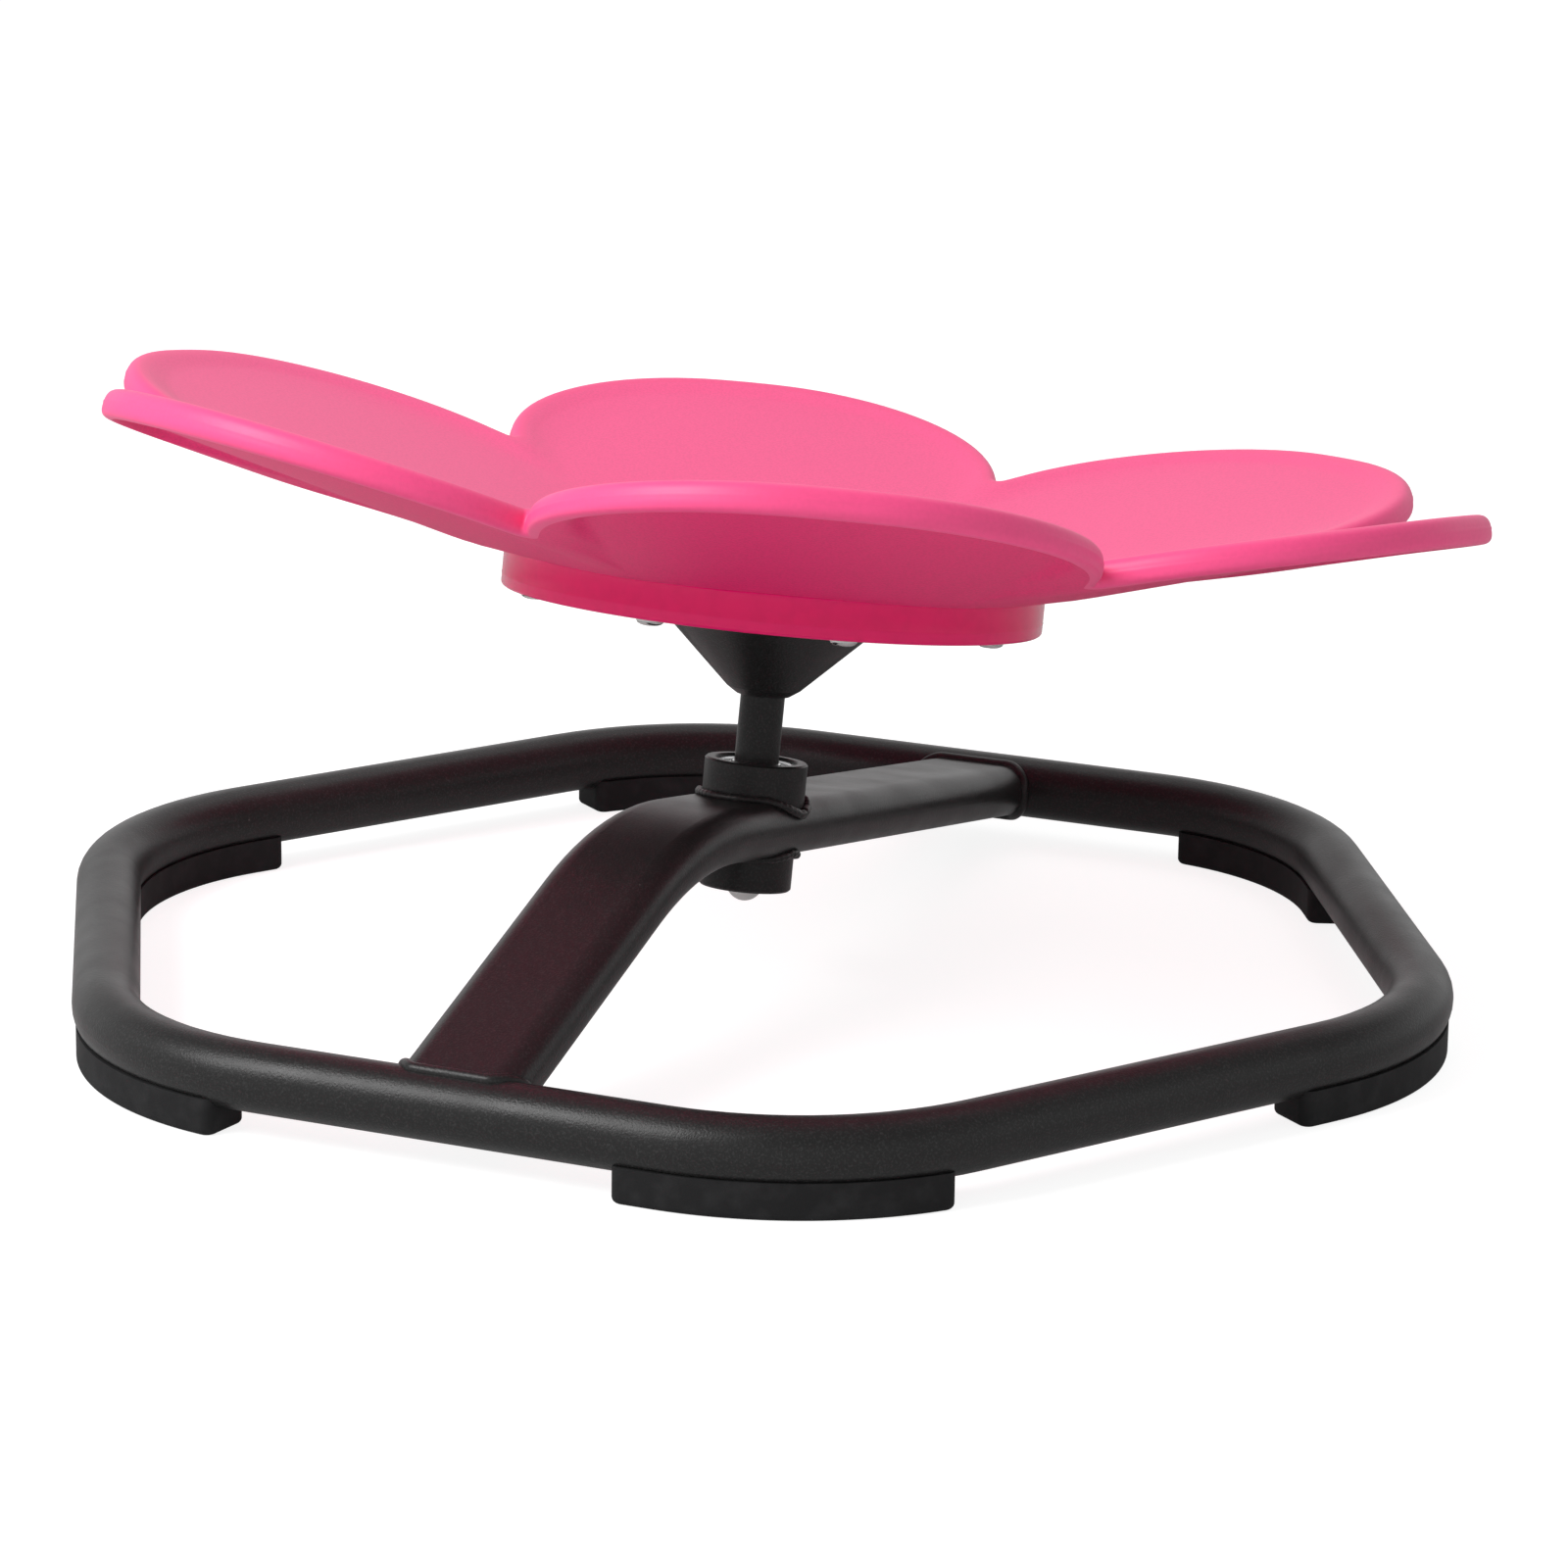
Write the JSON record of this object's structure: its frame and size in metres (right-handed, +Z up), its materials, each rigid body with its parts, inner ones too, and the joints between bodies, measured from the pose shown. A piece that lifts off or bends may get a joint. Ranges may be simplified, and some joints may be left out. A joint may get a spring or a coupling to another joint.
{
  "type": "sensory swivel chair",
  "caption": "Low spinning chair: a dished flower-shaped plastic seat turns on a leaning ball-bearing spindle over a bent tube base with rubber feet.",
  "frame": {"origin": "middle of the chair's bounding box at floor level", "axes": "+X to the chair's right, +Y to its rear along the crossbar, +Z up"},
  "size_m": [0.6203, 0.5964, 0.2826],
  "materials": {
    "pink_moulded_plastic": "satin",
    "black_powder_coat": "fine texture",
    "black_rubber": "matte",
    "zinc_plated_steel": "plated",
    "bearing_steel": "ground"
  },
  "bodies": {
    "base": {"base_ring": "black_powder_coat", "crossbar": "black_powder_coat", "bearing_housing": "black_powder_coat", "weld_housing_top": "black_powder_coat", "weld_housing_bottom": "black_powder_coat", "weld_bar_front": "black_powder_coat", "weld_bar_rear": "black_powder_coat", "foot_front": "black_rubber", "foot_front_left": "black_rubber", "foot_back_left": "black_rubber", "foot_back": "black_rubber", "foot_back_right": "black_rubber", "foot_front_right": "black_rubber", "foot_screws": "zinc_plated_steel", "upper_outer_ring": "bearing_steel", "upper_shield_bottom": "bearing_steel", "upper_shield_top": "bearing_steel", "lower_outer_ring": "bearing_steel", "lower_shield_bottom": "bearing_steel", "lower_shield_top": "bearing_steel"},
    "seat": {"seat_shell": "pink_moulded_plastic", "seat_plate": "black_powder_coat", "support_cone": "black_powder_coat", "spindle": "black_powder_coat", "spacer_sleeve": "zinc_plated_steel", "nut_washer": "zinc_plated_steel", "dome_nut": "zinc_plated_steel", "seat_screws": "zinc_plated_steel", "upper_inner_ring": "bearing_steel", "lower_inner_ring": "bearing_steel"},
    "upper_ball_set": {"upper_balls": "bearing_steel", "upper_cage": "bearing_steel"},
    "lower_ball_set": {"lower_balls": "bearing_steel", "lower_cage": "bearing_steel"}
  },
  "joints": [
    {"name": "seat_spin", "type": "hinge", "parent": "base", "child": "seat", "pos_m": [0, -0.0195, 0.024], "axis": [0.0207, 0.1573, 0.9873], "continuous": true},
    {"name": "upper_cage_orbit", "type": "hinge", "parent": "base", "child": "upper_ball_set", "pos_m": [0, -0.0195, 0.024], "axis": [0.0207, 0.1573, 0.9873], "continuous": true},
    {"name": "lower_cage_orbit", "type": "hinge", "parent": "base", "child": "lower_ball_set", "pos_m": [0, -0.0195, 0.024], "axis": [0.0207, 0.1573, 0.9873], "continuous": true}
  ],
  "couplings": [
    {"joint": "upper_cage_orbit", "follows": "seat_spin", "ratio": 0.38094},
    {"joint": "lower_cage_orbit", "follows": "seat_spin", "ratio": 0.38094}
  ]
}
